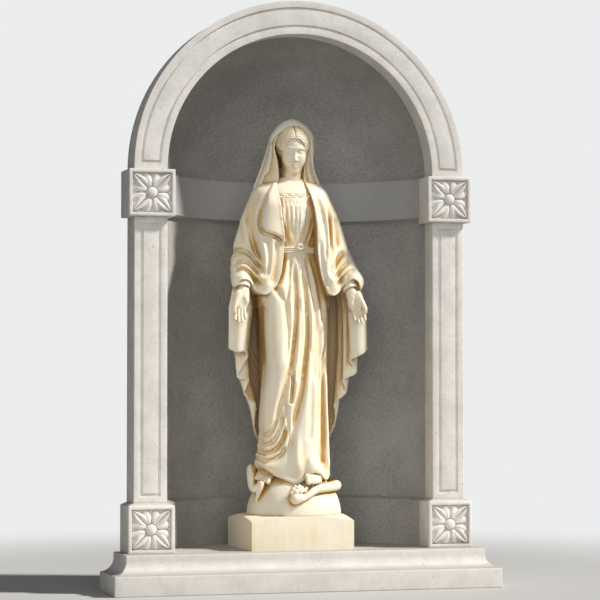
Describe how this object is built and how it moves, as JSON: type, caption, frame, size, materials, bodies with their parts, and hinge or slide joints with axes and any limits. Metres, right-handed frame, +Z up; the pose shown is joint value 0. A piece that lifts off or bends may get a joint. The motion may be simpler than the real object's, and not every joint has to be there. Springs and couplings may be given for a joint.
{
  "type": "wayside shrine",
  "caption": "Arched cast-stone niche with rosette blocks on a coved base, sheltering a robed standing figure on a globe.",
  "frame": {"origin": "on the ground under the middle of the base", "axes": "+Z up, front toward -Y, X along the base"},
  "size_m": [1.33, 0.6399, 1.9789],
  "materials": {
    "cast_stone": "matte pitted warm light-grey cast stone",
    "stucco": "rough grey stucco",
    "band_stone": "smooth matte grey cast stone",
    "ivory_stone": "satin ivory with ochre patina in the folds"
  },
  "bodies": {
    "root": {"base": "cast_stone", "left_pedestal": "cast_stone", "right_pedestal": "cast_stone", "left_pedestal_rosette": "cast_stone", "right_pedestal_rosette": "cast_stone", "left_pilaster": "cast_stone", "right_pilaster": "cast_stone", "left_impost": "cast_stone", "right_impost": "cast_stone", "left_impost_rosette": "cast_stone", "right_impost_rosette": "cast_stone", "arch": "cast_stone", "niche_course": "stucco", "niche_wall": "stucco", "niche_conch": "stucco", "niche_band": "band_stone", "statue_plinth": "ivory_stone", "globe": "ivory_stone", "serpent": "ivory_stone", "left_foot": "ivory_stone", "right_foot": "ivory_stone", "gown": "ivory_stone", "girdle": "ivory_stone", "mantle": "ivory_stone", "mantle_fall": "ivory_stone", "left_hand": "ivory_stone", "right_hand": "ivory_stone", "head": "ivory_stone", "veil": "ivory_stone"}
  },
  "joints": []
}
